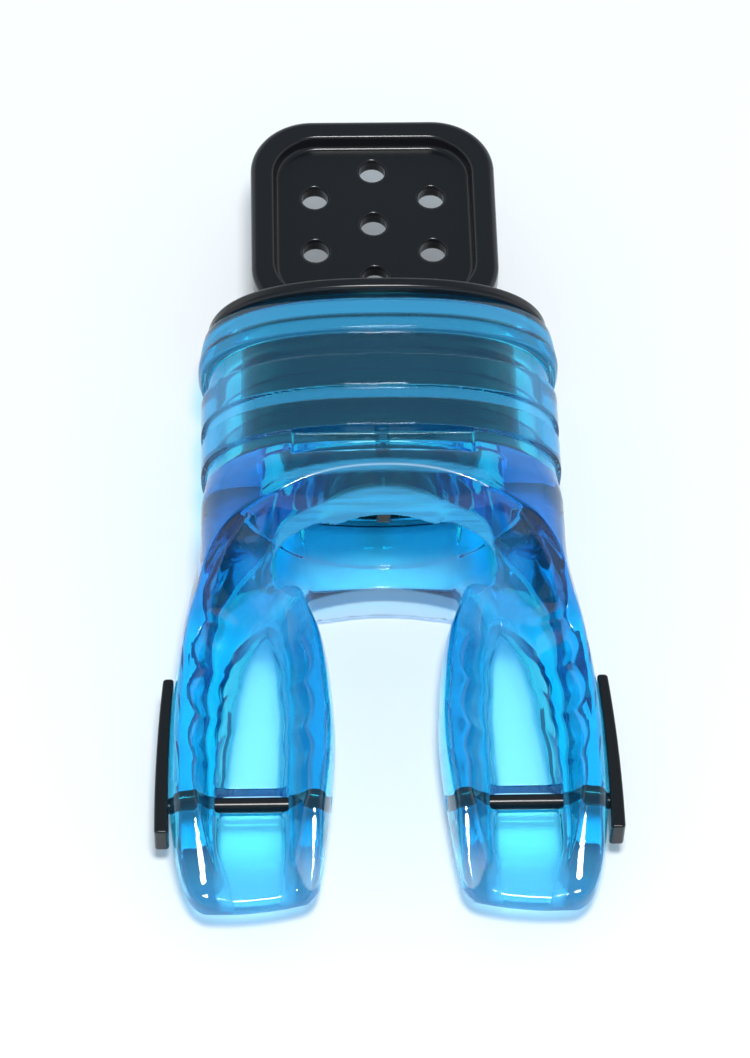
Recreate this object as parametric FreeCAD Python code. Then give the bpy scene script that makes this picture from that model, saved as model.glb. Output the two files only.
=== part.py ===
"""Mouldable bite mouthpiece on its forming tool, with a side clip and cross pin on each wing.

Millimetres, +Z up, +Y towards the tool's handle, -Y towards the tips of the bite wings.
Origin: centre of the neck's rear opening, in the rear face of the neck's bead.
"""
import FreeCAD, Part
import math
import os

V = FreeCAD.Vector

# Neck: an oval tube along Y, from its rear face at Y = 0 to the mouth face; an oval's power is 2 for
# an ellipse and grows as its corners fill out
OVAL_POWER = 2.5
OVAL_POINTS = 32
NECK_HALF_W = 23.8
NECK_HALF_H = 13.0
BEAD_HALF_W = 24.2
BEAD_HALF_H = 13.4
BEAD_RISE = 0.6
BEAD_RIDGE_Y = -4.0
BEAD_FRONT_Y = -5.8
TIE_GROOVE_Y = -9.9
TIE_GROOVE_DEPTH = 0.9
RING_GROOVE = (-15.2, -17.1)
RING_GROOVE_DEPTH = 0.6
COLLAR_END_Y = -21.6
SHIELD_EDGE_Y = -28.4
MOUTH_Y = -33.6
MOUTH_SLOPE_HALF_W = 15.6
POCKET_W, POCKET_DEPTH, POCKET_END_Y = 24.4, 1.3, -25.2

# Bore: a socket that takes the plug, then a smaller airway to the mouth face
SOCKET_HALF_W, SOCKET_HALF_H, SOCKET_END_Y = 19.0, 9.5, -22.1
AIRWAY_HALF_W, AIRWAY_HALF_H, AIRWAY_POWER = 14.6, 8.3, 2.0

# Wings: H-section bite channels about their own mid-plane
WING_Z = -7.9
WING_HALF_H = 6.0
WING_BULGE = 0.9
WING_ROOT_Y = -27.0
TIP_Y = -81.6
FLOOR_HALF_T = 1.1
TIP_SLOPE = ((-70.5, WING_HALF_H), (-79.0, 1.6))
OUTER_SIDE = ((24.6, -31.5), (25.5, -36.0), (26.5, -42.0), (27.4, -49.5), (27.95, -58.0), (28.0, -65.0),
              (27.5, -71.6), (26.3, -77.4))
TIP_ARC = ((24.3, -81.0), (20.0, -81.5), (15.0, -81.3), (10.9, -80.4))
INNER_SIDE = ((8.9, -77.4), (8.2, -73.0), (7.4, -67.0), (6.9, -62.0), (6.65, -57.0), (6.95, -50.5),
              (7.8, -43.5), (10.2, -36.0))
CHANNEL_FLOOR = ((15.2, -39.5), (18.6, -46.0), (20.4, -55.0), (21.8, -65.0), (22.5, -71.5), (21.4, -78.0),
                 (17.0, -80.4), (13.0, -78.0), (12.7, -71.5), (13.2, -65.0), (12.8, -55.0), (13.2, -46.0))
CHANNEL_TOP = ((15.5, -36.2), (22.4, -43.0), (24.0, -55.0), (24.6, -65.0), (24.7, -71.5), (23.6, -78.0),
               (17.0, -83.0), (11.6, -78.0), (10.8, -71.5), (10.2, -65.0), (10.2, -55.0), (11.6, -43.0))

# Cheek wall: the outer wall's upward sweep from a wing to the front of the neck
CHEEK_WALL_T = 3.0
CHEEK_TOP = ((-27.7, 12.6), (-30.8, 10.3), (-33.3, 6.0), (-35.2, 3.0), (-37.0, 0.4), (-41.0, -1.2),
             (-52.0, WING_Z + WING_HALF_H - 0.4))

# Cross pins and side clips
PIN_Y, PIN_Z, PIN_R = -66.1, WING_Z, 1.0
PIN_CLEARANCE = 0.05
PIN_INNER_X, PIN_OUTER_X = 7.6, 29.3
PIN_SLOT = (-64.3, -67.9)
PIN_SLOT_X = (12.4, 22.4)
CLIP_FAR_Y, CLIP_NEAR_Y = -48.4, -71.2
CLIP_T, CLIP_FAR_T, CLIP_H = 1.85, 1.4, 4.6
CLIP_INNER_X = 28.1
CLIP_FAR_INSET = 0.6

# Forming tool: plug, stop flange and handle plate on one tongue
PLUG_CLEARANCE = 0.1
PLUG_FRONT_Y = -22.0
RIB_W, RIB_Z, RIB_END_Y = 1.9, (4.6, 7.8), -31.4
FLANGE_T, FLANGE_HALF_W, FLANGE_HALF_H, FLANGE_EDGE_R = 1.8, 22.9, 13.9, 0.7
TONGUE_W, TONGUE_T, TONGUE_DEPTH = 14.0, 3.2, 8.0
PLATE_SIDE, PLATE_CORNER_R, PLATE_T, PLATE_CENTRE_Y = 33.8, 8.5, 4.3, 21.4
PLATE_RIM_W, PLATE_RECESS, PLATE_RECESS_R = 3.2, 2.0, 5.0
PLATE_EDGE_R = 1.1
HOLE_R, HOLE_RING_R, HOLE_EDGE_R = 1.8, 9.3, 0.5


def oval(half_w, half_h, y, power):
    """Closed oval outline in the plane Y = y."""
    points = []
    for step in range(OVAL_POINTS):
        turn = 2 * math.pi * step / OVAL_POINTS
        across, up = math.cos(turn), math.sin(turn)
        reach = (abs(across) ** power + abs(up) ** power) ** (-1 / power)
        points.append(V(half_w * reach * across, y, half_h * reach * up))
    curve = Part.BSplineCurve()
    curve.interpolate(points, PeriodicFlag=True)
    return Part.Wire([curve.toShape()])


def oval_bar(rear_y, front_y, rear_half, front_half=None, power=OVAL_POWER):
    """Solid oval bar along Y; each end has a half width and half height, equal unless both are given."""
    rear = oval(*rear_half, rear_y, power)
    front = oval(*(front_half or rear_half), front_y, power)
    return Part.makeLoft([rear, front], True, True)


def box(x_span, y_span, z_span):
    """Box between the low and high values of each span."""
    lows = [min(span) for span in (x_span, y_span, z_span)]
    highs = [max(span) for span in (x_span, y_span, z_span)]
    return Part.makeBox(highs[0] - lows[0], highs[1] - lows[1], highs[2] - lows[2], V(*lows))


def closed_curve(points, z):
    """Smooth closed outline through plan points, at height z."""
    curve = Part.BSplineCurve()
    curve.interpolate([V(x, y, z) for x, y in points], PeriodicFlag=True)
    return Part.Wire([curve.toShape()])


def side_prism(points, x_span):
    """Solid with a polygon profile of (y, z) points, spanning x_span."""
    low, high = min(x_span), max(x_span)
    corners = [V(low, y, z) for y, z in points]
    face = Part.Face(Part.makePolygon(corners + corners[:1]))
    return face.extrude(V(high - low, 0, 0))


def mirrored(shape):
    """The same shape on the other side of the centre plane X = 0."""
    return shape.mirror(V(0, 0, 0), V(1, 0, 0))


def neck():
    """Beaded and grooved tube blank, from the rear face to the mouth face."""
    full = (NECK_HALF_W, NECK_HALF_H)
    groove = (NECK_HALF_W - TIE_GROOVE_DEPTH, NECK_HALF_H - TIE_GROOVE_DEPTH)
    ring = (NECK_HALF_W - RING_GROOVE_DEPTH, NECK_HALF_H - RING_GROOVE_DEPTH)
    ridge = (BEAD_HALF_W, BEAD_HALF_H)
    bead_rear = (BEAD_HALF_W - BEAD_RISE, BEAD_HALF_H - BEAD_RISE)
    stretches = [
        oval_bar(0, BEAD_RIDGE_Y, bead_rear, ridge),
        oval_bar(BEAD_RIDGE_Y, BEAD_FRONT_Y, ridge, full),
        oval_bar(BEAD_FRONT_Y, TIE_GROOVE_Y, groove),
        oval_bar(TIE_GROOVE_Y, RING_GROOVE[0], full),
        oval_bar(RING_GROOVE[0], RING_GROOVE[1], ring),
        oval_bar(RING_GROOVE[1], COLLAR_END_Y, full),
        oval_bar(COLLAR_END_Y, SHIELD_EDGE_Y, ring, full),
        oval_bar(SHIELD_EDGE_Y, MOUTH_Y, full),
    ]
    blank = stretches[0].fuse(stretches[1:])
    slope_top = NECK_HALF_H + 0.4
    lip_z = AIRWAY_HALF_H + 0.6
    slope = side_prism(((SHIELD_EDGE_Y, slope_top), (MOUTH_Y - 2, slope_top), (MOUTH_Y - 2, lip_z),
                        (MOUTH_Y + 0.8, lip_z)), (-MOUTH_SLOPE_HALF_W, MOUTH_SLOPE_HALF_W))
    side_slope = side_prism(((SHIELD_EDGE_Y, slope_top), (MOUTH_Y - 2, slope_top), (MOUTH_Y - 2, 1.0),
                             (MOUTH_Y, 1.0)), (-NECK_HALF_W - 1, NECK_HALF_W + 1))
    side_slope = side_slope.cut(box((-MOUTH_SLOPE_HALF_W, MOUTH_SLOPE_HALF_W), (-50, 0), (-20, 20)))
    pocket = box((-POCKET_W / 2, POCKET_W / 2), (COLLAR_END_Y, POCKET_END_Y),
                 (NECK_HALF_H - RING_GROOVE_DEPTH - POCKET_DEPTH, NECK_HALF_H + 1))
    return blank.cut([slope, side_slope, pocket])


def wing_outline(inset, z):
    """Plan outline of the right wing at height z, drawn in by an inset on its three free sides."""
    outer = [(x - inset, y) for x, y in OUTER_SIDE]
    tip = [(x, y + inset) for x, y in TIP_ARC]
    inner = [(x + inset, y) for x, y in INNER_SIDE]
    root = [(11.0 + inset, WING_ROOT_Y), (21.5 - inset, WING_ROOT_Y)]
    curve = Part.BSplineCurve()
    curve.interpolate([V(x, y, z) for x, y in root[1:] + outer + tip + inner + root[:1]])
    end, start = curve.toShape().Vertexes[-1].Point, curve.toShape().Vertexes[0].Point
    return Part.Wire([curve.toShape(), Part.makeLine(end, start)])


def wing_blank():
    """Right wing without its channels: widest at its mid-plane, sloped down at the tip."""
    low = wing_outline(WING_BULGE, WING_Z - WING_HALF_H)
    mid = wing_outline(0, WING_Z)
    high = wing_outline(WING_BULGE, WING_Z + WING_HALF_H)
    blank = Part.makeLoft([low, mid], True, True).fuse(Part.makeLoft([mid, high], True, True))
    (start_y, start_h), (end_y, end_h) = TIP_SLOPE
    above = side_prism(((start_y, WING_Z + start_h), (end_y, WING_Z + end_h),
                        (TIP_Y - 2, WING_Z + end_h - 0.4), (TIP_Y - 2, 9), (start_y, 9)), (0, 40))
    below = above.mirror(V(0, 0, WING_Z), V(0, 0, 1))
    return blank.cut([above, below])


def channel():
    """Tapering trough for the upper teeth, wider at its rim than at its floor."""
    floor = closed_curve(CHANNEL_FLOOR, WING_Z + FLOOR_HALF_T)
    rim = closed_curve(CHANNEL_TOP, WING_Z + WING_HALF_H + 0.1)
    return Part.makeLoft([floor, rim], True, True)


def cheek_section(z):
    """Plan section of the right cheek wall at height z, leaning in as it rises."""
    lean = WING_BULGE * ((z - WING_Z) / WING_HALF_H) ** 2
    path = [(NECK_HALF_W + 0.1, SHIELD_EDGE_Y)] + list(OUTER_SIDE[:4])
    faces = []
    for inset in (lean, lean + CHEEK_WALL_T):
        curve = Part.BSplineCurve()
        curve.interpolate([V(x - inset, y, z) for x, y in path])
        faces.append(curve.toShape())
    ends = [Part.makeLine(faces[0].Vertexes[i].Point, faces[1].Vertexes[i].Point) for i in (0, -1)]
    return Part.Wire([faces[0], ends[1], faces[1], ends[0]])


def cheek_wall():
    """Outer wall of the right wing, sweeping up to the front of the neck."""
    heights = [WING_Z + step * (NECK_HALF_H - WING_Z) / 5 for step in range(6)]
    wall = Part.makeLoft([cheek_section(z) for z in heights], True, True)
    last_y = CHEEK_TOP[-1][0]
    under_top = side_prism(CHEEK_TOP + ((last_y, WING_Z - 1), (CHEEK_TOP[0][0], WING_Z - 1)), (0, 40))
    return wall.common(under_top)


def pin_holes():
    """Bores for a cross pin through both walls of the right wing, and the slot across its floor."""
    bore = Part.makeCylinder(PIN_R + PIN_CLEARANCE, 40, V(0, PIN_Y, PIN_Z), V(1, 0, 0))
    slot = box(PIN_SLOT_X, PIN_SLOT, (WING_Z - FLOOR_HALF_T - 0.6, WING_Z + FLOOR_HALF_T + 0.6))
    return bore.fuse(slot)


def mouthpiece_body():
    """One soft moulding: neck, shield and both bite wings, with bore, channels and pin holes."""
    wing = wing_blank().fuse(cheek_wall())
    upper = channel()
    lower = upper.mirror(V(0, 0, WING_Z), V(0, 0, 1))
    wing = wing.cut([upper, lower, pin_holes()])
    body = neck().fuse([wing, mirrored(wing)])
    between = box((-6.5, 6.5), (MOUTH_Y, TIP_Y - 5), (-20, 20))
    socket = oval_bar(1, SOCKET_END_Y, (SOCKET_HALF_W, SOCKET_HALF_H))
    airway_half = (AIRWAY_HALF_W, AIRWAY_HALF_H)
    airway = oval_bar(SOCKET_END_Y + 0.1, MOUTH_Y - 6, airway_half, power=AIRWAY_POWER)
    return body.cut([between, socket, airway])


def core_plug():
    """Plug that fills the neck's socket, with a top rib that reaches along the airway."""
    half = (SOCKET_HALF_W - PLUG_CLEARANCE, SOCKET_HALF_H - PLUG_CLEARANCE)
    barrel = oval_bar(0, PLUG_FRONT_Y, half)
    rib = box((-RIB_W / 2, RIB_W / 2), (PLUG_FRONT_Y + 1, RIB_END_Y), RIB_Z)
    return barrel.fuse(rib).cut(tongue_bar(-TONGUE_DEPTH, 0))


def tongue_bar(front_y, rear_y):
    """Stretch of the handle's flat tongue between two Y planes."""
    return box((-TONGUE_W / 2, TONGUE_W / 2), (front_y, rear_y), (-TONGUE_T / 2, TONGUE_T / 2))


def stop_flange():
    """Oval plate that seats on the bead's rear face, with rounded edges and a slot for the tongue."""
    plate = oval_bar(FLANGE_T, 0, (FLANGE_HALF_W, FLANGE_HALF_H))
    faces_y = (0, FLANGE_T)
    rim = [e for e in plate.Edges if min(abs(e.CenterOfMass.y - y) for y in faces_y) < 0.01]
    return plate.makeFillet(FLANGE_EDGE_R, rim).cut(tongue_bar(0, FLANGE_T))


def rounded_square(side, radius, z, thickness):
    """Square plate with round corners, centred on the handle."""
    half = side / 2
    block = box((-half, half), (PLATE_CENTRE_Y - half, PLATE_CENTRE_Y + half), (z, z + thickness))
    corners = [e for e in block.Edges if abs(e.tangentAt(e.FirstParameter).z) > 0.9]
    return block.makeFillet(radius, corners)


def hole_places():
    """Centres of the handle's holes: one in the middle of a ring of six."""
    ring = [math.radians(30 + 60 * step) for step in range(6)]
    around = [(HOLE_RING_R * math.cos(a), PLATE_CENTRE_Y + HOLE_RING_R * math.sin(a)) for a in ring]
    return [(0, PLATE_CENTRE_Y)] + around


def handle_plate():
    """Square tray with a raised rim and round holes, on a flat tongue that joins it to flange and plug."""
    bottom = -PLATE_T / 2
    plate = rounded_square(PLATE_SIDE, PLATE_CORNER_R, bottom, PLATE_T)
    rim = [e for e in plate.Edges if abs(e.CenterOfMass.z - PLATE_T / 2) < 0.01]
    rim += [e for e in plate.Edges if abs(e.CenterOfMass.z - bottom) < 0.01]
    plate = plate.makeFillet(PLATE_EDGE_R, rim)
    floor_z = PLATE_T / 2 - PLATE_RECESS
    recess = rounded_square(PLATE_SIDE - 2 * PLATE_RIM_W, PLATE_RECESS_R, floor_z, PLATE_RECESS + 1)
    cutters = [recess]
    for x, y in hole_places():
        cutters.append(Part.makeCylinder(HOLE_R, PLATE_T, V(x, y, bottom), V(0, 0, 1)))
        edge_at = V(x, y, floor_z - HOLE_EDGE_R)
        cutters.append(Part.makeCone(HOLE_R, HOLE_R + HOLE_EDGE_R, HOLE_EDGE_R, edge_at))
    return plate.cut(cutters).fuse(tongue_bar(-TONGUE_DEPTH, PLATE_CENTRE_Y - PLATE_SIDE / 2 + 1))


def clip_curve(near_offset, far_offset):
    """Plan curve of the right clip's face, bowed outwards and set in at its far end."""
    near = V(CLIP_INNER_X - 0.1 + near_offset, CLIP_NEAR_Y, PIN_Z)
    middle = V(CLIP_INNER_X + near_offset, PIN_Y + 5, PIN_Z)
    far = V(CLIP_INNER_X - CLIP_FAR_INSET + far_offset, CLIP_FAR_Y, PIN_Z)
    return Part.Arc(near, middle, far).toShape()


def clip():
    """Right side clip: a bowed strip with an eye round its end of the pin."""
    inner, outer = clip_curve(0, 0), clip_curve(CLIP_T, CLIP_FAR_T)
    ends = [Part.makeLine(inner.Vertexes[i].Point, outer.Vertexes[i].Point) for i in (0, -1)]
    outline = Part.Wire(Part.sortEdges([inner, outer] + ends)[0])
    strip = Part.Face(outline).extrude(V(0, 0, CLIP_H))
    strip.translate(V(0, 0, -CLIP_H / 2))
    upright = [e for e in strip.Edges if abs(e.tangentAt(e.FirstParameter).z) > 0.9]
    strip = strip.makeFillet(0.6, upright)
    eye_r = PIN_R + PIN_CLEARANCE
    eye = Part.makeCylinder(eye_r, PIN_OUTER_X + PIN_CLEARANCE, V(0, PIN_Y, PIN_Z), V(1, 0, 0))
    return strip.cut(eye)


def cross_pin():
    """Right cross pin: a plain round rod with chamfered ends."""
    rod = Part.makeCylinder(PIN_R, PIN_OUTER_X - PIN_INNER_X, V(PIN_INNER_X, PIN_Y, PIN_Z), V(1, 0, 0))
    ends = [e for e in rod.Edges if e.Curve.TypeId == "Part::GeomCircle"]
    return rod.makeChamfer(0.15, ends)


def parts():
    """Every node with its solid."""
    return {
        "mouthpiece_body": mouthpiece_body(),
        "core_plug": core_plug(),
        "stop_flange": stop_flange(),
        "handle_plate": handle_plate(),
        "right_clip": clip(),
        "left_clip": mirrored(clip()),
        "right_cross_pin": cross_pin(),
        "left_cross_pin": mirrored(cross_pin()),
    }


def main():
    os.makedirs("parts", exist_ok=True)
    for node, shape in parts().items():
        solid = shape.removeSplitter()
        if solid.ShapeType == "Compound" and len(solid.Solids) == 1:
            solid = solid.Solids[0]
        print(node, solid.ShapeType, "solids", len(solid.Solids), "valid", solid.isValid(),
              "volume", round(solid.Volume, 1), "box", solid.BoundBox)
        solid.exportStep(f"parts/{node}.step")


main()
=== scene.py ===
"""Looks of the mouldable bite mouthpiece: clear blue moulding, black forming tool, clips and pins.

Each piece is the closed surface of a distance field in millimetres (negative inside), turned into a fine mesh.
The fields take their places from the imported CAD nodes.
"""

import math

import bpy
import numpy as np
from mathutils import Matrix, Vector


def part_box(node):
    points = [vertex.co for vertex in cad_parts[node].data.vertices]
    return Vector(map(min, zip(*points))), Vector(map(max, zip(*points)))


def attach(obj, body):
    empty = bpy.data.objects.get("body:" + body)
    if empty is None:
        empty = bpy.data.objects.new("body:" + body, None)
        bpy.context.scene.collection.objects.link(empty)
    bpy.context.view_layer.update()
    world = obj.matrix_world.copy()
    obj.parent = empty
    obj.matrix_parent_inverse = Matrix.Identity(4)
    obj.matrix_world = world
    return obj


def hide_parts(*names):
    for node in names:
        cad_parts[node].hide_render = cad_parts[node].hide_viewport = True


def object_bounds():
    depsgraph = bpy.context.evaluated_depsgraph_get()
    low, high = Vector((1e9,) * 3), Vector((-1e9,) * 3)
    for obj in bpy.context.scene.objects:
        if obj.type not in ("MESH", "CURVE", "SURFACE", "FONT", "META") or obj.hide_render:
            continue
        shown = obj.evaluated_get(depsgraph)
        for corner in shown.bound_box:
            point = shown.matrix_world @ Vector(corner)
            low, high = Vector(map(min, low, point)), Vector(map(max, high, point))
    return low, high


MM = 0.001
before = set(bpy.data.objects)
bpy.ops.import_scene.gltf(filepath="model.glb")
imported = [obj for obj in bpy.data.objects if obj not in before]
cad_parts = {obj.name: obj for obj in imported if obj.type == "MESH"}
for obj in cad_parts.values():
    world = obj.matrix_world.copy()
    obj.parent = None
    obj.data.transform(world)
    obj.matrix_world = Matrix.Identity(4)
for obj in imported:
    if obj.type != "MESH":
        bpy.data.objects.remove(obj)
CAD_BOX = [list(corner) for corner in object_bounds()]


def node_box(node):
    """Lowest and highest corner of a CAD node, in millimetres."""
    low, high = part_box(node)
    return np.array(low) / MM, np.array(high) / MM


# ---------------------------------------------------------------- distance fields

def both(a, b, r=0.0):
    """Inside both fields, with the meeting edge rounded to radius r."""
    if r == 0.0:
        return np.maximum(a, b)
    return np.minimum(np.maximum(a, b), -r) + np.hypot(np.maximum(a + r, 0), np.maximum(b + r, 0))


def either(a, b, r=0.0):
    """Inside either field, with the meeting corner filleted to radius r."""
    return -both(-a, -b, r)


def without(a, b, r=0.0):
    """Inside a but not b, with the new edge rounded to radius r."""
    return both(a, -b, r)


def span(value, low, high):
    """Distance to the interval from low to high."""
    return np.abs(value - (low + high) / 2) - abs(high - low) / 2


def ease(value, start, end):
    """0 before start, 1 after end, smooth in between."""
    t = np.clip((value - start) / (end - start), 0, 1)
    return t * t * (3 - 2 * t)


def window(value, start, full, ebb, end):
    """0 up to start, 1 from full to ebb, 0 after end."""
    return ease(value, start, full) * (1 - ease(value, ebb, end))


def curve(points):
    """Smooth function through (input, output) points, without overshoot."""
    points = sorted(points)
    px, py = np.array(points, float).T
    step = np.diff(px)
    slope = np.diff(py) / step
    rise = np.zeros(len(px))
    rise[0], rise[-1] = slope[0], slope[-1]
    same = slope[:-1] * slope[1:] > 0
    w1, w2 = 2 * step[1:] + step[:-1], step[1:] + 2 * step[:-1]
    safe = np.where(slope == 0, 1, slope)
    rise[1:-1] = np.where(same, (w1 + w2) / (w1 / safe[:-1] + w2 / safe[1:]), 0)

    def value(x):
        i = np.clip(np.searchsorted(px, x) - 1, 0, len(step) - 1)
        t = (x - px[i]) / step[i]
        over = np.clip(t, 0, 1)
        a, b = over * over * (3 - 2 * over), over * (1 - over)
        inner = py[i] * (1 - a) + py[i + 1] * a + step[i] * b * (rise[i] * (1 - over) - rise[i + 1] * over)
        return inner + (t - over) * step[i] * np.where(t > 1, rise[-1], rise[0])
    return value


# ---------------------------------------------------------------- meshing

CORNERS = np.array([(i, j, k) for i in (0, 1) for j in (0, 1) for k in (0, 1)])
EDGES = [(a, b) for a in range(8) for b in range(a + 1, 8) if np.abs(CORNERS[a] - CORNERS[b]).sum() == 1]


def grid_values(field, axes, mirrored):
    """Field values on the grid, one X slice at a time; a mirrored field is worked out once for both sides."""
    y, z = np.meshgrid(axes[1], axes[2], indexing="ij")
    values = np.empty([len(a) for a in axes])
    done = {}
    for i, x in enumerate(axes[0]):
        key = round(abs(x), 6) if mirrored else i
        if key not in done:
            done[key] = field(np.full_like(y, x), y, z)
        values[i] = done[key]
    return values


def surface_net(values):
    """Points, in grid steps, and quads of the zero surface of a grid of values."""
    inside = values < 0
    shape = np.array(values.shape) - 1
    held = sum(inside[i:shape[0] + i, j:shape[1] + j, k:shape[2] + k].astype(np.int8) for i, j, k in CORNERS)
    cells = np.argwhere((held > 0) & (held < 8))
    number = np.full(shape, -1)
    number[tuple(cells.T)] = np.arange(len(cells))
    at = np.stack([values[tuple((cells + c).T)] for c in CORNERS], axis=1)
    total, count = np.zeros((len(cells), 3)), np.zeros(len(cells))
    for a, b in EDGES:
        crossed = (at[:, a] < 0) != (at[:, b] < 0)
        t = at[crossed, a] / (at[crossed, a] - at[crossed, b])
        total[crossed] += CORNERS[a] + t[:, None] * (CORNERS[b] - CORNERS[a])
        count[crossed] += 1
    points = cells + total / count[:, None]
    quads = []
    for axis in range(3):
        side = [np.eye(3, dtype=int)[(axis + n) % 3] for n in (1, 2)]
        first = np.take(inside, range(shape[axis]), axis)
        second = np.take(inside, range(1, shape[axis] + 1), axis)
        edges = np.argwhere(first != second)
        kept = [n for n in range(3) if n != axis]
        edges = edges[((edges[:, kept] > 0) & (edges[:, kept] < shape[kept])).all(axis=1)]
        ring = [edges, edges - side[0], edges - side[0] - side[1], edges - side[1]]
        quad = np.stack([number[tuple(c.T)] for c in ring], axis=1)
        outward = first[tuple(edges.T)]
        quads.append(np.where(outward[:, None], quad, quad[:, ::-1]))
    return points, np.concatenate(quads)


def gradient(field, points, reach=0.02):
    """Slope of the field at each point."""
    slopes = []
    for axis in range(3):
        nudge = np.zeros(3)
        nudge[axis] = reach
        slopes.append((field(*(points + nudge).T) - field(*(points - nudge).T)) / (2 * reach))
    return np.stack(slopes, axis=1)


def draw_onto(field, points, limit):
    """The points moved onto the field's zero surface, and the surface's normals there."""
    for part in np.array_split(np.arange(len(points)), max(1, len(points) // 20000)):
        for _ in range(3):
            slope = gradient(field, points[part])
            move = field(*points[part].T) / np.maximum((slope ** 2).sum(axis=1), 0.05)
            points[part] -= (np.clip(move, -limit, limit))[:, None] * slope
    slopes = gradient(field, points)
    return points, slopes / np.maximum(np.linalg.norm(slopes, axis=1), 1e-9)[:, None]


def mesh_piece(name, field, low, high, cell, mirrored=False):
    """Blender object with the closed surface of a field, meshed on a grid of cells of the given size."""
    low, high = np.array(low, float) - 2 * cell, np.array(high, float) + 2 * cell
    if mirrored:
        low[0] = -cell * math.ceil(high[0] / cell)
    axes = [low[a] + cell * np.arange(int(np.ceil((high[a] - low[a]) / cell)) + 1) for a in range(3)]
    points, quads = surface_net(grid_values(field, axes, mirrored))
    points, normals = draw_onto(field, low + cell * points, cell / 2)
    mesh = bpy.data.meshes.new(name)
    mesh.vertices.add(len(points))
    mesh.vertices.foreach_set("co", (points * MM).ravel())
    mesh.loops.add(quads.size)
    mesh.loops.foreach_set("vertex_index", quads.ravel())
    mesh.polygons.add(len(quads))
    mesh.polygons.foreach_set("loop_start", 4 * np.arange(len(quads)))
    mesh.polygons.foreach_set("use_smooth", np.ones(len(quads), bool))
    mesh.update(calc_edges=True)
    mesh.validate()
    mesh.normals_split_custom_set_from_vertices(normals)
    piece = bpy.data.objects.new(name, mesh)
    bpy.context.scene.collection.objects.link(piece)
    return piece


# ---------------------------------------------------------------- mouthpiece body

BODY_LOW, BODY_HIGH = node_box("mouthpiece_body")
PLUG_LOW, PLUG_HIGH = node_box("core_plug")
PIN_LOW, PIN_HIGH = node_box("right_cross_pin")
PIN_R = (PIN_HIGH[1] - PIN_LOW[1]) / 2
PIN_Y = (PIN_LOW[1] + PIN_HIGH[1]) / 2
WING_Z = (PIN_LOW[2] + PIN_HIGH[2]) / 2
WING_HALF_H = WING_Z - BODY_LOW[2]

OVAL_POWER, AIRWAY_POWER = 2.5, 2.0
NECK_HALF_W, NECK_HALF_H = 23.8, 13.0
BEAD_OUT, GROOVE_IN, RING_IN = 0.4, 0.9, 0.6
BEAD_RIDGE_Y, BEAD_FRONT_Y, BEAD_REAR_SLOPE, BEAD_FRONT_SLOPE = -4.3, -6.0, 0.16, 0.28
TIE_GROOVE_Y = -9.9
RING_GROOVE = (-15.2, -17.1)
COLLAR_Y = -21.6
POCKET_HALF_W, POCKET_Z, POCKET_Y = 11.8, 11.1, -25.2
RIM_Y = -27.7
MOUTH_Y, LEDGE_OUT, PAST_MOUTH_Y = -33.1, 1.5, -60.0
RIM_ARCH_R, MOUTH_ARCH_R = 70.0, 27.0
SOCKET_HALF_W, SOCKET_HALF_H, SOCKET_Y = 19.0, 9.5, -22.1
AIRWAY_HALF_W, AIRWAY_HALF_H = 14.6, 8.3
BORE_STEP_Y = -29.9
GATE_HALF_W, GATE_Z = 0.45, (9.8, 12.1)
PIN_SLOT_X, PIN_SLOT_HALF_L, PIN_SLOT_HALF_H = (12.8, 22.2), 1.8, 1.9
SLOPE = 0.9
SCALLOP_PITCH = 6.8

outer_side = curve([(-22, 19.0), (-25, 21.6), (-28, 23.5), (-32, 24.7), (-36, 25.5), (-42, 26.5), (-49.5, 27.4),
                    (-58, 27.95), (-65, 28.0), (-71.6, 27.5), (-76.5, 26.6), (-79.7, 25.4), (-84, 23.4)])
inner_side = curve([(-24, 11.5), (-36, 10.2), (-43.5, 7.8), (-50.5, 6.95), (-57, 6.65), (-62, 6.9), (-67, 7.4),
                    (-73, 8.15), (-78.6, 9.1), (-84, 10.3)])
tip_end = curve([(8, 78.8), (10, 79.9), (12, 80.5), (16, 81.2), (20, 81.5), (24, 81.4), (27, 80.6)])
floor_outer = curve([(-30, 11.5), (-39.5, 15.6), (-46, 18.8), (-55, 20.4), (-65, 21.8), (-72, 22.7),
                     (-78, 21.6), (-84, 20.0)])
floor_inner = curve([(-30, 15.2), (-39.5, 14.6), (-46, 13.2), (-55, 12.7), (-65, 13.1), (-72, 12.6),
                     (-78, 12.8), (-84, 13.4)])
crest_outer = curve([(-27, 12.0), (-30, 15.2), (-33.3, 18.0), (-36.4, 20.6), (-41, 22.7), (-47, 24.0),
                     (-54, 24.6), (-65, 24.7), (-70, 24.0), (-75, 23.2), (-79, 22.5), (-84, 21.6)])
crest_inner = curve([(-34, 12.0), (-40, 11.0), (-46, 10.4), (-55, 10.1), (-65, 10.1), (-72, 10.5), (-78, 11.5),
                     (-84, 12.6)])
ridge_height = curve([(-20, 22.0), (-25, 16.0), (-27.7, 13.2), (-30.8, 10.8), (-32.5, 9.2), (-34.2, 7.2),
                      (-36.3, 4.5), (-37.9, 2.2), (-39.5, 0.2), (-41.3, -1.1), (-48, -1.8), (-56, -1.9),
                      (-69, -2.0), (-70.5, -2.4), (-73.5, -3.55), (-76.5, -4.7), (-79, -5.65), (-80.5, -6.0),
                      (-84, -6.1)])
crest_line = curve([(-33, 18.5), (-37, 21.8), (-41, 24.2), (-47, 25.6), (-54, 26.0), (-62, 25.7), (-68, 24.9),
                    (-73, 24.4), (-78, 23.9), (-84, 23.2)])
CREST_IN, DOME, DOME_DROP = 9.6, 0.075, 1.6
TIP_OUTER_R, TIP_INNER_R, NOSE_R, WING_EDGE_R = 2.2, 1.8, 1.5, 0.8
FLOOR_Z, TIP_FLOOR_STEP, FLOOR_FILLET = WING_Z + 1.1, 0.6, 1.1
ROOT_RISE = 1.3
SIDE_BOW = 0.9
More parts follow.
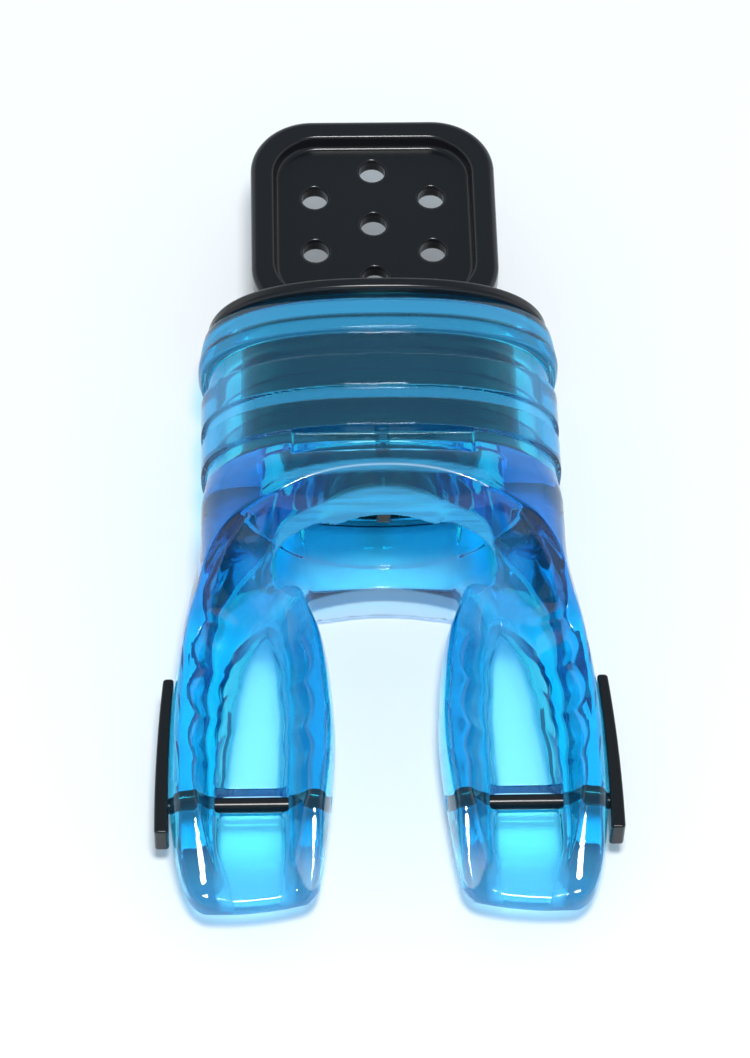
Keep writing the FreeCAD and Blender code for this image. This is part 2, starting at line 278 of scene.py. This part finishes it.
bowl_front = curve([(-4, -42.0), (0, -39.5), (5, -36.4), (10, -34.2), (17, -31.8), (21, -30.6)])


def bulge(z):
    """How far a wing's side is drawn in from its widest line, at its mid-plane."""
    return SIDE_BOW * ((z - WING_Z) / WING_HALF_H) ** 2


def oval(x, z, half_w, half_h, power=OVAL_POWER):
    """Distance to an oval bar along Y: an ellipse at power 2, with fuller corners above it."""
    u, v = np.abs(x) / half_w + 1e-9, np.abs(z) / half_h + 1e-9
    reach = (u ** power + v ** power) ** (1 / power)
    slope = np.hypot((u / reach) ** (power - 1) / half_w, (v / reach) ** (power - 1) / half_h)
    return (reach - 1) / slope


def neck_field(x, y, z):
    """Beaded and ringed neck with its shoulder, up to the sloping mouth face."""
    skin = oval(x, z, NECK_HALF_W, NECK_HALF_H)
    past = y - BEAD_RIDGE_Y
    ridge = both(skin - BEAD_OUT + BEAD_REAR_SLOPE * past, skin - BEAD_OUT - BEAD_FRONT_SLOPE * past, 0.15)
    bead = both(ridge, span(y, BEAD_FRONT_Y, 0), 0.3)
    core = both(skin + GROOVE_IN, span(y, PAST_MOUTH_Y, -0.4), 0.3)
    first = both(skin, span(y, RING_GROOVE[0], TIE_GROOVE_Y), 0.3)
    middle = both(skin + RING_IN, span(y, COLLAR_Y, TIE_GROOVE_Y), 0.2)
    collar = both(skin, span(y, COLLAR_Y, RING_GROOVE[1]), 0.3)
    swell = RING_IN * (1 - ease(y, COLLAR_Y - 1.0, RIM_Y + 0.6))
    shoulder = both(skin + swell, span(y, PAST_MOUTH_Y, COLLAR_Y + 0.4), 0.3)
    rings = either(either(bead, first, 0.2), either(middle, collar, 0.2), 0.2)
    neck = either(either(rings, core, 0.3), shoulder, 0.25)
    pocket = both(both(np.abs(x) - POCKET_HALF_W, POCKET_Z - z, 0.3), span(y, POCKET_Y, COLLAR_Y), 0.3)
    neck = without(neck, pocket, 0.25)
    gate = both(both(np.abs(x) - GATE_HALF_W, span(z, *GATE_Z), 0.15), span(y, POCKET_Y - 0.3, COLLAR_Y + 0.3))
    neck = either(neck, gate, 0.2)
    slope_z = NECK_HALF_H + SLOPE * (y - RIM_Y + x * x / (2 * RIM_ARCH_R))
    top_z = slope_z + (ridge_height(y) - slope_z) * ease(np.abs(x), 14.0, 20.0)
    neck = both(neck, (z - top_z) * 0.72, 0.3)
    face_y = MOUTH_Y - x * x / (2 * MOUTH_ARCH_R) - LEDGE_OUT * ease(-z, 11.2, 12.9)
    return both(neck, (face_y - y) * 0.85, 0.4)


def wing_field(x, y, z):
    """Right wing without its channels, with the outer wall sweeping up to the rim of the neck."""
    outer = x - outer_side(y) + bulge(z)
    inner = inner_side(y) + bulge(z) - x
    tip = bulge(z) - tip_end(x) - y
    plan = both(both(outer, tip, TIP_OUTER_R), both(inner, tip, TIP_INNER_R))
    ridge = ridge_height(y)
    low_top = np.minimum(ridge, WING_Z + WING_HALF_H)
    dome = DOME * np.minimum((x - crest_line(y)) ** 2, (x - CREST_IN) ** 2) * ease(-y, 40.0, 46.0)
    top = low_top + (ridge - low_top) * ease(x, 13.5, 17.5) - np.minimum(dome, DOME_DROP)
    top = np.maximum(top, FLOOR_Z + TIP_FLOOR_STEP + 0.05)
    steep = np.hypot(1, (ridge_height(y + 0.3) - ridge_height(y - 0.3)) / 0.6)
    above = (z - top) / steep
    below = 2 * WING_Z - low_top + ROOT_RISE * ease(y, -45.0, -35.0) - z
    nose = np.maximum(both(tip, above, NOSE_R), both(tip, below, NOSE_R))
    return np.maximum(both(both(plan, above, WING_EDGE_R), below, WING_EDGE_R), nose)


def scallop(y, height, phase):
    """Petal-shaped waves in a channel's side, 0 on a crest and 1 in a hollow."""
    wave = np.sin(np.pi * (y + 0.3 * height + phase) / SCALLOP_PITCH)
    return np.sqrt(wave * wave + 0.015)


def channel_field(x, y, z):
    """Trough for the teeth: a boat-shaped floor and sloped, scalloped sides that end at the walls' crests."""
    floor_z = FLOOR_Z + TIP_FLOOR_STEP * ease(-y, -PIN_Y + 1.0, -PIN_Y + 3.0)
    height = z - floor_z
    full = np.maximum(np.maximum(ridge_height(y), WING_Z + WING_HALF_H - 0.1) - floor_z, 1.0)
    rise = np.maximum(height, -1) / full
    part = np.clip(rise, 0, 1)
    shape = 1.25 * part - 0.25 * part * part + np.minimum(rise, 0) + 0.6 * np.maximum(rise - 1, 0)
    lively = window(-y, 38.0, 43.0, 60.0, 64.5)
    depth = np.clip(height, 0, 5)
    outer = x - floor_outer(y) - (crest_outer(y) - floor_outer(y)) * shape
    inner = floor_inner(y) + (crest_inner(y) - floor_inner(y)) * np.maximum(height, -1) / 4.9 - x
    outer = outer - lively * (0.25 + 0.12 * depth) * (scallop(y, height, 0.0) - 0.55)
    inner = inner - lively * (0.25 + 0.14 * depth) * (scallop(y, height, 2.1) - 0.55)
    front = (y - bowl_front(height)) * 0.85
    sides = both(both(outer * 0.8, inner * 0.88, 0.6), front, 2.0)
    return both(sides, -height, FLOOR_FILLET)


def body_field(x, y, z):
    """The whole clear moulding."""
    x = np.abs(x)
    body = either(neck_field(x, y, z), wing_field(x, y, z), 1.2)
    body = without(body, channel_field(x, y, z), 0.6)
    body = without(body, channel_field(x, y, 2 * WING_Z - z), 0.6)
    socket = both(oval(x, z, SOCKET_HALF_W, SOCKET_HALF_H), span(y, SOCKET_Y, 5), 0.3)
    bore = oval(x, z, AIRWAY_HALF_W, AIRWAY_HALF_H, AIRWAY_POWER)
    airway = both(bore, span(y, MOUTH_Y - 3.4, BORE_STEP_Y), 0.3)
    airway = either(airway, both(bore + 0.3, span(y, MOUTH_Y, SOCKET_Y + 1), 0.2), 0.15)
    body = without(body, either(socket, airway, 0.4), 0.35)
    pin = both(np.hypot(y - PIN_Y, z - WING_Z) - PIN_R + 0.01, span(x, PIN_LOW[0] - 2, 40))
    slot = both(span(x, *PIN_SLOT_X), np.abs(y - PIN_Y) - PIN_SLOT_HALF_L, 0.3)
    slot = both(slot, np.abs(z - WING_Z) - PIN_SLOT_HALF_H)
    return without(body, either(pin, slot, 0.1), 0.2)


# Bands of painted light round the neck, where light gathers at the rings: middle, half width and share along Y.
PAINTED_LIGHT_BANDS = ((-2.6, 1.6, 0.8), (-5.3, 1.0, 0.6), (-16.2, 1.1, 0.6), (-22.5, 0.7, 0.15))


def frost(points, normals):
    """1 on the cut edge round the airway's upper half, 0.7 along the rim above it, 0 on the polished rest."""
    x, y, z = points.T
    near = oval(x, z, AIRWAY_HALF_W, AIRWAY_HALF_H, AIRWAY_POWER)
    width = 0.1 + 2.8 * ease(z, 1.0, 8.5)
    upper = (1 - ease(near, 0.8 * width, width)) * ease(near, -0.3, 0.1) * ease(z, 0.5, 2.0)
    facing = ease(-normals[:, 1], 0.15, 0.4) * ease(-y, 28, 30)
    rim = 1 - ease(np.abs(y - RIM_Y + x * x / (2 * RIM_ARCH_R)), 0.5, 0.9)
    return np.maximum(upper * facing, 0.7 * rim * ease(z, 11, 12) * ease(20 - np.abs(x), 0, 3))


def painted_light(points):
    """Share of painted light, a pale diffuse brightening put where light gathers or is reflected: neck, wing
    tips, lip, airway, and the channels' edges.
    """
    x, y, z = np.abs(points[:, 0]), points[:, 1], points[:, 2]
    bands = sum((1 - ease(np.abs(y - middle), 0.6 * half, half)) * share for middle, half, share in PAINTED_LIGHT_BANDS)
    outside = oval(x, z, NECK_HALF_W - 1.6, NECK_HALF_H - 1.6)
    # Painted light on the wing tips, the neck's sides and where the wings meet the lip; painted reflection on
    # the lower lip; painted highlight on the airway floor.
    blooms = 0.48 * wing_tip(y) + 0.8 * lower_lip(x, y, z) + 0.45 * lip_corner(x, y)
    blooms = blooms + 0.22 * bore_floor(x, y, z) + 0.5 * neck_side(x, y, z)
    # Painted light along the foot of the channels' sides.
    from_side = np.minimum(np.abs(x - floor_outer(y)), np.abs(x - floor_inner(y)))
    edges = 0.4 * (1 - ease(from_side, 0.4, 1.2)) * ease(z, WING_Z, WING_Z + 0.4) * (1 - ease(z, -5.9, -5.1))
    return np.minimum(bands, 1) * ease(outside, -0.2, 0.2) + blooms + edges * ease(-y, 38, 42)


def wing_tip(y):
    """1 on the wings' tips."""
    return ease(-y, 72.5, 77.0)


def lower_lip(x, y, z):
    """1 on the lip below the airway, between the wings."""
    return ease(-y, 31.5, 32.5) * ease(-z, 8.2, 8.8) * ease(11 - x, 0, 1)


def lip_corner(x, y):
    """1 where a wing's inner wall meets the lip."""
    return window(-y, 33, 36, 42, 46) * window(x, 9, 10, 16, 20)


def neck_side(x, y, z):
    """1 on the round sides of the neck, between the bead and the collar."""
    return window(x, 16.5, 20.0, 22.3, 23.6) * window(-y, 6.5, 9.0, 20.0, 22.5) * ease(z, 0, 2)


def bore_floor(x, y, z):
    """1 on the front half of the airway's floor."""
    inside = 1 - ease(oval(x, z, AIRWAY_HALF_W, AIRWAY_HALF_H, AIRWAY_POWER), 0.1, 0.4)
    return inside * ease(-z, 2.0, 8.0) * ease(-y, 24.0, 32.0)


def painted_light_whiteness(points):
    """How far the painted light turns from the resin's blue to a pale white, for the painted reflection on the
    lower lip and the painted highlight on the airway floor.
    """
    x, y, z = np.abs(points[:, 0]), points[:, 1], points[:, 2]
    lip = lower_lip(x, y, z) * (0.45 + 0.55 * ease(-z, 11.0, 11.6))
    soft = 0.7 * bore_floor(x, y, z) + 0.04 * lip_corner(x, y) + 0.12 * neck_side(x, y, z)
    return np.clip(lip + soft + 0.05 * wing_tip(y), 0, 1)


def focus(points):
    """1 on the neck's round flanks, which pass all the light that falls on them."""
    return ease(np.abs(points[:, 0]), 14.0, 17.0) * ease(points[:, 1], -30.0, -26.0)


def make_body():
    """The clear moulding, with the point attributes that its material reads."""
    cell = 0.32
    piece = mesh_piece("clear_mouthpiece", body_field, BODY_LOW, BODY_HIGH, cell, mirrored=True)
    points = np.empty(3 * len(piece.data.vertices))
    piece.data.vertices.foreach_get("co", points)
    points = points.reshape(-1, 3) / MM
    frosted = frost(points, gradient(body_field, points))
    # Point attributes: frosted finish, painted light share, flanks that pass shadow rays, and how white the
    # painted light turns.
    shares = {"frost": frosted, "painted_light": painted_light(points), "focus": focus(points), "painted_light_whiteness": painted_light_whiteness(points)}
    for name, values in shares.items():
        made = piece.data.attributes.new(name, "FLOAT", "POINT")
        made.data.foreach_set("value", values)
    piece.data.materials.append(clear_blue())
    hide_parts("mouthpiece_body")
    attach(piece, "mouthpiece")


# ---------------------------------------------------------------- forming tool, clips and pins

PLATE_LOW, PLATE_HIGH = node_box("handle_plate")
FLANGE_LOW, FLANGE_HIGH = node_box("stop_flange")
CLIP_LOW, CLIP_HIGH = node_box("right_clip")
PLATE_HALF = PLATE_HIGH[0]
PLATE_Y = PLATE_HIGH[1] - PLATE_HALF
PLATE_TOP = PLATE_HIGH[2]
HOLE_R, HOLE_RING_R, HOLE_EDGE_R = 1.8, 9.3, 0.45
TRAY_CORNER_R, RECESS_CORNER_R, RIM_W, RECESS_DEPTH, RECESS_DRAFT = 8.6, 6.2, 3.2, 2.0, 0.12
TONGUE_HALF_W, TONGUE_HALF_H, TONGUE_FIT = 7.0, 1.6, 0.02
RIB_HALF_W, RIB_Z = 0.95, (4.6, 7.8)
CLIP_X, CLIP_BOW, CLIP_LEAN, CLIP_THICK, CLIP_TAPER = 28.0, 0.62, 0.6, 1.85, 0.45
EYE_FIT = 0.03


def rounded_square(x, y, half, radius):
    """Distance to a square with round corners, centred on the handle."""
    dx, dy = np.abs(x) - half + radius, np.abs(y - PLATE_Y) - half + radius
    return np.hypot(np.maximum(dx, 0), np.maximum(dy, 0)) + np.minimum(np.maximum(dx, dy), 0) - radius


def tongue(x, z):
    """Distance to the flat tongue that runs from the tray through the flange into the plug."""
    return both(np.abs(x) - TONGUE_HALF_W, np.abs(z) - TONGUE_HALF_H, 0.3)


def plate_field(x, y, z):
    """Tray with a raised, rounded rim, seven holes and its tongue."""
    plate = both(rounded_square(x, y, PLATE_HALF, TRAY_CORNER_R), np.abs(z) - PLATE_TOP, 1.0)
    recess = rounded_square(x, y, PLATE_HALF - RIM_W, RECESS_CORNER_R) - RECESS_DRAFT * (z - PLATE_TOP)
    recess = both(recess, PLATE_TOP - RECESS_DEPTH - z, 0.6)
    plate = without(plate, recess, 0.5)
    turns = [math.radians(30 + 60 * step) for step in range(6)]
    places = [(0, 0)] + [(HOLE_RING_R * math.cos(a), HOLE_RING_R * math.sin(a)) for a in turns]
    holes = np.min([np.hypot(x - px, y - PLATE_Y - py) for px, py in places], axis=0) - HOLE_R
    plate = without(plate, holes, HOLE_EDGE_R)
    return either(plate, both(tongue(x, z), span(y, PLATE_LOW[1], PLATE_Y - PLATE_HALF + 1)), 0.4)


def flange_field(x, y, z):
    """Oval stop plate with rounded edges, slotted for the tongue."""
    half_h = FLANGE_HIGH[2]
    plate = both(oval(x, z, FLANGE_HIGH[0], half_h), span(y, FLANGE_LOW[1], FLANGE_HIGH[1]), 0.55)
    return without(plate, tongue(x, z) - TONGUE_FIT)


def plug_field(x, y, z):
    """Oval plug with the narrow rib that reaches along the roof of the airway."""
    half_h = -PLUG_LOW[2]
    barrel = both(oval(x, z, PLUG_HIGH[0], half_h), span(y, SOCKET_Y + 0.1, PLUG_HIGH[1]), 0.4)
    rib = both(both(np.abs(x) - RIB_HALF_W, span(y, PLUG_LOW[1], -20), 0.15), span(z, *RIB_Z), 0.15)
    tongue_hole = both(tongue(x, z) - TONGUE_FIT, PLATE_LOW[1] - TONGUE_FIT - y)
    return without(either(barrel, rib, 0.3), tongue_hole)


def clip_field(x, y, z):
    """Right side clip: a bowed strip with rounded edges and an eye for the pin."""
    along = (y - CLIP_LOW[1]) / (CLIP_HIGH[1] - CLIP_LOW[1])
    part = np.clip(along, 0, 1)
    inner_x = CLIP_X + CLIP_BOW * part * (1 - part) - CLIP_LEAN * along ** 2
    thick = CLIP_THICK - CLIP_TAPER * along
    strip = both(span(x, inner_x, inner_x + thick), span(y, CLIP_LOW[1], CLIP_HIGH[1]), 0.45)
    strip = both(strip, span(z, CLIP_LOW[2], CLIP_HIGH[2]), 0.3)
    eye = both(np.hypot(y - PIN_Y, z - WING_Z) - PIN_R - EYE_FIT, x - PIN_HIGH[0] - 0.02)
    return without(strip, eye, 0.05)


def pin_field(x, y, z):
    """Right cross pin with rounded ends."""
    return both(np.hypot(y - PIN_Y, z - WING_Z) - PIN_R, span(x, PIN_LOW[0], PIN_HIGH[0]), 0.2)


def flipped(field):
    """The same field on the other side of the centre plane."""
    return lambda x, y, z: field(-x, y, z)


def make_black_pieces():
    """The tray, flange, plug, clips and pins, each as its own piece."""
    cell = 0.25
    tool, clip, pin = black_plastic("tool", 0.20), black_plastic("clip", 0.17), black_plastic("pin", 0.22)
    plan = [
        ("handle_tray", plate_field, "handle_plate", "tool_black", "forming_tool", tool, cell),
        ("stop_plate", flange_field, "stop_flange", "tool_black", "forming_tool", tool, cell),
        ("plug", plug_field, "core_plug", "tool_black", "forming_tool", tool, cell),
        ("clip_right", clip_field, "right_clip", "clip_black", "right_side_clip", clip, cell * 0.6),
        ("clip_left", flipped(clip_field), "left_clip", "clip_black", "left_side_clip", clip, cell * 0.6),
        ("pin_right", pin_field, "right_cross_pin", "pin_black", "right_pin", pin, cell * 0.6),
        ("pin_left", flipped(pin_field), "left_cross_pin", "pin_black", "left_pin", pin, cell * 0.6),
    ]
    for name, field, node, slot, rider, look, size in plan:
        piece = mesh_piece(name, field, *node_box(node), size)
        piece.data.materials.append(look)
        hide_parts(node)
        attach(piece, rider)


# ---------------------------------------------------------------- materials

def material(name):
    """New node material and its nodes by short names."""
    made = bpy.data.materials.new(name)
    made.use_nodes = True
    return made, made.node_tree.nodes, made.node_tree.links


GLASS_IOR = 1.49
# Diffuse layer: an even haze over the resin, raised by the painted-light share and by frosted streaks.
HAZE_SHARE, PAINTED_LIGHT_SHARE, FULL_SHARE = 0.04, 0.6, 1.1
# Colours of the diffuse layer: blue for the haze and the painted light, pale white where the painted light
# stands for reflection and highlight.
HAZE_AND_PAINTED_LIGHT_BLUE, PAINTED_LIGHT_WHITE = (0.06, 0.46, 0.84, 1), (0.78, 0.90, 1.0, 1)
POLISHED, FROSTED = 0.02, 0.45
STREAK_SCALE = (90.0, 1600.0, 1600.0)
SHADOW_FACING, SHADOW_EDGE, SHADOW_CLEAR = (0.77, 0.70, 0.82, 1), (0.05, 0.19, 0.30, 1), (1, 1, 1, 1)
SHADOW_FALL = 0.4
BODY_COLOUR, BODY_DENSITY = (0.0, 0.875, 0.957, 1), 325.0


def point_value(nodes, name):
    """Output that gives one of the mesh's point attributes."""
    made = nodes.new("ShaderNodeAttribute")
    made.attribute_name = name
    return made.outputs["Fac"]


def math_node(nodes, links, operation, *values):
    """Output of a math node whose inputs are numbers or other nodes' outputs."""
    made = nodes.new("ShaderNodeMath")
    made.operation = operation
    for slot, value in zip(made.inputs, values):
        if isinstance(value, (int, float)):
            slot.default_value = value
        else:
            links.new(value, slot)
    return made.outputs[0]


def colour_mix(nodes, links, factor, first, second):
    """Output that goes from the first colour to the second as factor goes from 0 to 1."""
    made = nodes.new("ShaderNodeMix")
    made.data_type = "RGBA"
    links.new(factor, made.inputs["Factor"])
    for slot, value in (("A", first), ("B", second)):
        if isinstance(value, tuple):
            made.inputs[slot].default_value = value
        else:
            links.new(value, made.inputs[slot])
    return made.outputs["Result"]


def ranged(nodes, links, value, low, high):
    """Output that goes from low to high as value goes from 0 to 1."""
    made = nodes.new("ShaderNodeMapRange")
    made.inputs["To Min"].default_value = low
    made.inputs["To Max"].default_value = high
    links.new(value, made.inputs["Value"])
    return made.outputs["Result"]


def shader_mix(nodes, links, factor, first, second):
    """Output that goes from the first shader to the second as factor goes from 0 to 1."""
    made = nodes.new("ShaderNodeMixShader")
    links.new(factor, made.inputs["Fac"])
    links.new(first, made.inputs[1])
    links.new(second, made.inputs[2])
    return made.outputs[0]


def tool_streaks(nodes, links):
    """Output with fine streaks along X, as a cutter leaves them."""
    place = nodes.new("ShaderNodeTexCoord")
    stretch = nodes.new("ShaderNodeMapping")
    stretch.inputs["Scale"].default_value = STREAK_SCALE
    links.new(place.outputs["Object"], stretch.inputs["Vector"])
    streaks = nodes.new("ShaderNodeTexNoise")
    streaks.inputs["Scale"].default_value = 1.0
    streaks.inputs["Detail"].default_value = 3.0
    links.new(stretch.outputs["Vector"], streaks.inputs["Vector"])
    return streaks.outputs["Fac"]


def cast_tint(nodes, links, frosted):
    """Shader for the light a surface lets through: least at a slant or where frosted, all on the flanks."""
    slant = nodes.new("ShaderNodeLayerWeight")
    slant.inputs["Blend"].default_value = 0.5
    steepness = math_node(nodes, links, "POWER", slant.outputs["Facing"], SHADOW_FALL)
    held = math_node(nodes, links, "MAXIMUM", steepness, frosted)
    tint = colour_mix(nodes, links, held, SHADOW_FACING, SHADOW_EDGE)
    clear = nodes.new("ShaderNodeBsdfTransparent")
    lit = colour_mix(nodes, links, point_value(nodes, "focus"), tint, SHADOW_CLEAR)
    links.new(lit, clear.inputs["Color"])
    return clear.outputs[0]


def clear_blue():
    """Clear blue resin: polished surface with some haze and with painted light where the mesh's painted-light
    share says, and colour that deepens with thickness.
    """
    made, nodes, links = material("clear_blue_resin")
    frosted = point_value(nodes, "frost")
    surface = nodes["Principled BSDF"]
    surface.inputs["Base Color"].default_value = (1, 1, 1, 1)
    surface.inputs["IOR"].default_value = GLASS_IOR
    surface.inputs["Transmission Weight"].default_value = 1.0
    links.new(ranged(nodes, links, frosted, POLISHED, FROSTED), surface.inputs["Roughness"])
    # Diffuse layer for the even haze and for the painted light and painted reflection.
    haze_and_painted_light = nodes.new("ShaderNodeBsdfDiffuse")
    links.new(colour_mix(nodes, links, point_value(nodes, "painted_light_whiteness"), HAZE_AND_PAINTED_LIGHT_BLUE, PAINTED_LIGHT_WHITE), haze_and_painted_light.inputs["Color"])
    streaky = math_node(nodes, links, "MULTIPLY", frosted, tool_streaks(nodes, links))
    # Painted light share, plus streaks where the surface is frosted.
    haze_and_painted_light_share = math_node(nodes, links, "MULTIPLY_ADD", point_value(nodes, "painted_light"), PAINTED_LIGHT_SHARE, streaky)
    share = ranged(nodes, links, haze_and_painted_light_share, HAZE_SHARE, FULL_SHARE)
    seen = shader_mix(nodes, links, share, surface.outputs[0], haze_and_painted_light.outputs[0])
    ray = nodes.new("ShaderNodeLightPath")
    whole = shader_mix(nodes, links, ray.outputs["Is Shadow Ray"], seen, cast_tint(nodes, links, frosted))
    links.new(whole, nodes["Material Output"].inputs["Surface"])
    volume = nodes.new("ShaderNodeVolumeAbsorption")
    volume.inputs["Color"].default_value = BODY_COLOUR
    volume.inputs["Density"].default_value = BODY_DENSITY
    links.new(volume.outputs[0], nodes["Material Output"].inputs["Volume"])
    return made


BLACK = (0.008, 0.009, 0.011, 1)
BLACK_SPECULAR = 0.34
GRAIN_SCALE, GRAIN_STRENGTH, GRAIN_DEPTH = 2600.0, 0.04, 0.0002


def black_plastic(name, roughness):
    """Satin black plastic with a faint grain."""
    made, nodes, links = material(name + "_black_plastic")
    surface = nodes["Principled BSDF"]
    place = nodes.new("ShaderNodeTexCoord")
    grain = nodes.new("ShaderNodeTexNoise")
    grain.inputs["Scale"].default_value = GRAIN_SCALE
    grain.inputs["Detail"].default_value = 3.0
    links.new(place.outputs["Object"], grain.inputs["Vector"])
    bump = nodes.new("ShaderNodeBump")
    bump.inputs["Strength"].default_value = GRAIN_STRENGTH
    bump.inputs["Distance"].default_value = GRAIN_DEPTH
    links.new(grain.outputs["Fac"], bump.inputs["Height"])
    links.new(bump.outputs["Normal"], surface.inputs["Normal"])
    surface.inputs["Base Color"].default_value = BLACK
    surface.inputs["Roughness"].default_value = roughness
    surface.inputs["Specular IOR Level"].default_value = BLACK_SPECULAR
    return made


# ---------------------------------------------------------------- studio

FLOOR_SIZE, FLOOR_GAP = 3.0, 0.00005
FLOOR_COLOUR, FLOOR_ROUGHNESS = (0.92, 0.94, 0.96, 1), 0.6


def stage():
    """Large pale floor just under the object."""
    floor = bpy.data.meshes.new("floor")
    z = CAD_BOX[0][2] - FLOOR_GAP
    corners = [(x * FLOOR_SIZE, y * FLOOR_SIZE, z) for x, y in ((-1, -1), (1, -1), (1, 1), (-1, 1))]
    floor.from_pydata(corners, [], [(0, 1, 2, 3)])
    made = bpy.data.objects.new("floor", floor)
    bpy.context.scene.collection.objects.link(made)
    pale, nodes, _ = material("pale_table")
    nodes["Principled BSDF"].inputs["Base Color"].default_value = FLOOR_COLOUR
    nodes["Principled BSDF"].inputs["Roughness"].default_value = FLOOR_ROUGHNESS
    floor.materials.append(pale)


SKY_LOW_Z, SKY_HIGH_Z = 0.35, 0.72
SKY_LOW, SKY_HIGH = 1.12, 0.42
SKY_LOW_COLOUR, SKY_HIGH_COLOUR = (0.94, 0.97, 1.0, 1), (0.58, 0.86, 1.0, 1)
LAMP_FROM, LAMP_SIZE, LAMP_POWER = Vector((0.02, -0.21, 0.74)), 0.16, 4.0
LAMP_AIM = Vector((0.0, -0.03, 0.0))


def surroundings():
    """Bright near table height, dim and bluer above."""
    world = bpy.data.worlds.new("studio")
    bpy.context.scene.world = world
    world.use_nodes = True
    nodes, links = world.node_tree.nodes, world.node_tree.links
    place = nodes.new("ShaderNodeTexCoord")
    split = nodes.new("ShaderNodeSeparateXYZ")
    links.new(place.outputs["Generated"], split.inputs[0])
    fade = nodes.new("ShaderNodeMapRange")
    fade.interpolation_type = "SMOOTHSTEP"
    ends = (("From Min", SKY_LOW_Z), ("From Max", SKY_HIGH_Z), ("To Min", SKY_LOW), ("To Max", SKY_HIGH))
    for slot, value in ends:
        fade.inputs[slot].default_value = value
    links.new(split.outputs["Z"], fade.inputs["Value"])
    links.new(fade.outputs["Result"], nodes["Background"].inputs["Strength"])
    tone = colour_mix(nodes, links, fade.outputs["Result"], SKY_HIGH_COLOUR, SKY_LOW_COLOUR)
    links.new(tone, nodes["Background"].inputs["Color"])


def lamp():
    """One soft round lamp overhead."""
    light = bpy.data.lights.new("key", "AREA")
    light.shape = "DISK"
    light.size = LAMP_SIZE
    light.energy = LAMP_POWER
    made = bpy.data.objects.new("key", light)
    bpy.context.scene.collection.objects.link(made)
    made.location = LAMP_AIM + LAMP_FROM
    made.rotation_euler = LAMP_FROM.to_track_quat("Z", "Y").to_euler()


CAMERA_AZIMUTH, CAMERA_ELEVATION, CAMERA_ROLL = math.radians(2.85), math.radians(56.2), math.radians(-1.77)
CAMERA_DISTANCE, CAMERA_AIM = 0.522, Vector((0, -0.033, 0))
CAMERA_SHIFT = Vector((0.002125, -0.006))
FILM_SIZE, FOCAL_SHARE = 36.0, 3.7807


def camera():
    """Long lens, looking down at the object from the wing tips' side."""
    flat = math.cos(CAMERA_ELEVATION)
    heading = Vector((math.sin(CAMERA_AZIMUTH), math.cos(CAMERA_AZIMUTH), 0))
    sight = heading * flat - Vector((0, 0, math.sin(CAMERA_ELEVATION)))
    turn = Matrix.Rotation(CAMERA_ROLL, 3, sight)
    level = sight.cross(Vector((0, 0, 1))).normalized()
    right, up = turn @ level, turn @ level.cross(sight)
    eye = CAMERA_AIM - CAMERA_DISTANCE * (sight + CAMERA_SHIFT.x * right + CAMERA_SHIFT.y * up)
    data = bpy.data.cameras.new("camera")
    data.sensor_width = FILM_SIZE
    data.lens = FILM_SIZE * FOCAL_SHARE
    data.clip_start, data.clip_end = 0.01, 20
    made = bpy.data.objects.new("camera", data)
    made.matrix_world = Matrix.Translation(eye) @ Matrix((right, up, -sight)).transposed().to_4x4()
    bpy.context.scene.collection.objects.link(made)
    bpy.context.scene.camera = made


make_body()
make_black_pieces()
stage()
surroundings()
lamp()
camera()
scene = bpy.context.scene
scene.view_settings.view_transform = "Standard"
scene.cycles.max_bounces = 40
scene.cycles.transmission_bounces = 40
scene.cycles.glossy_bounces = 16
